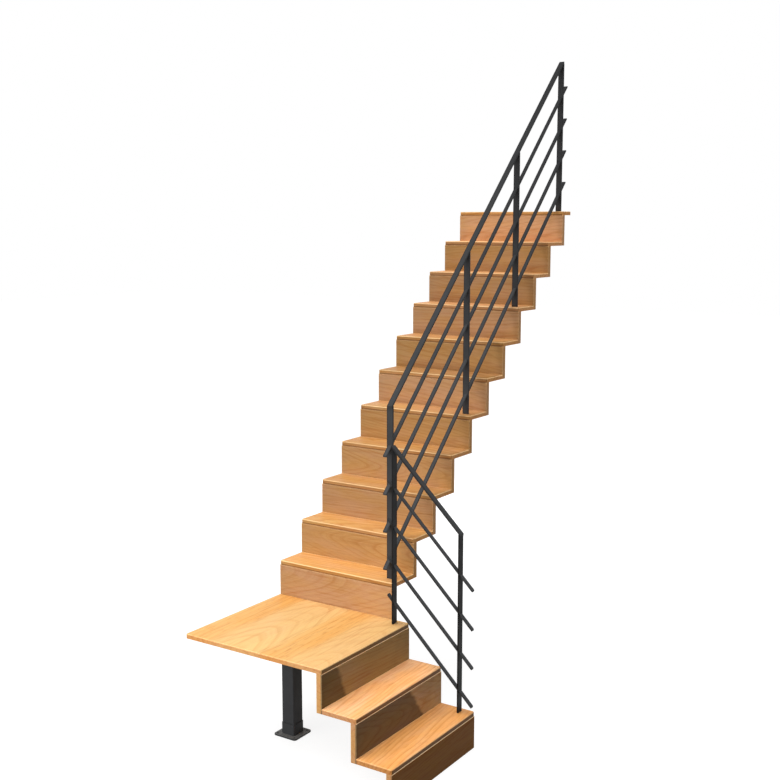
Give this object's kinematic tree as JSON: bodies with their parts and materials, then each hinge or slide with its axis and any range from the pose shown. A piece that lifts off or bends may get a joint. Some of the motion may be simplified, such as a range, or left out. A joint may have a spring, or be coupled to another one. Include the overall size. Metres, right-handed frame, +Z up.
{
  "type": "quarter turn staircase",
  "caption": "Quarter turn staircase of folded wooden boards with a square landing on a steel leg, and flat-bar steel railings along the open side.",
  "frame": {"origin": "on the floor, at the middle of the underside of the base plate of the leg under the landing", "axes": "+Z up, +Y along the climb of the upper flight, +X to the right of someone climbing it, towards the foot of the lower flight"},
  "size_m": [1.331, 3.012, 3.8461],
  "materials": {
    "oiled_wood": "oiled",
    "coated_steel": "matte"
  },
  "bodies": {
    "root": {"lower_riser_01": "oiled_wood", "lower_riser_02": "oiled_wood", "lower_riser_03": "oiled_wood", "lower_tread_01": "oiled_wood", "lower_tread_02": "oiled_wood", "landing": "oiled_wood", "upper_riser_01": "oiled_wood", "upper_riser_02": "oiled_wood", "upper_riser_03": "oiled_wood", "upper_riser_04": "oiled_wood", "upper_riser_05": "oiled_wood", "upper_riser_06": "oiled_wood", "upper_riser_07": "oiled_wood", "upper_riser_08": "oiled_wood", "upper_riser_09": "oiled_wood", "upper_riser_10": "oiled_wood", "upper_riser_11": "oiled_wood", "upper_tread_01": "oiled_wood", "upper_tread_02": "oiled_wood", "upper_tread_03": "oiled_wood", "upper_tread_04": "oiled_wood", "upper_tread_05": "oiled_wood", "upper_tread_06": "oiled_wood", "upper_tread_07": "oiled_wood", "upper_tread_08": "oiled_wood", "upper_tread_09": "oiled_wood", "upper_tread_10": "oiled_wood", "upper_tread_11": "oiled_wood", "leg_base_plate": "coated_steel", "leg_sleeve": "coated_steel", "leg_tube": "coated_steel", "leg_head_plate": "coated_steel", "lower_railing_post_1": "coated_steel", "lower_railing_post_2": "coated_steel", "upper_railing_post_1": "coated_steel", "upper_railing_post_2": "coated_steel", "upper_railing_post_3": "coated_steel", "upper_railing_post_4": "coated_steel", "lower_infill_bars": "coated_steel", "lower_hand_rail": "coated_steel", "upper_infill_bars": "coated_steel", "upper_hand_rail": "coated_steel"}
  },
  "joints": []
}
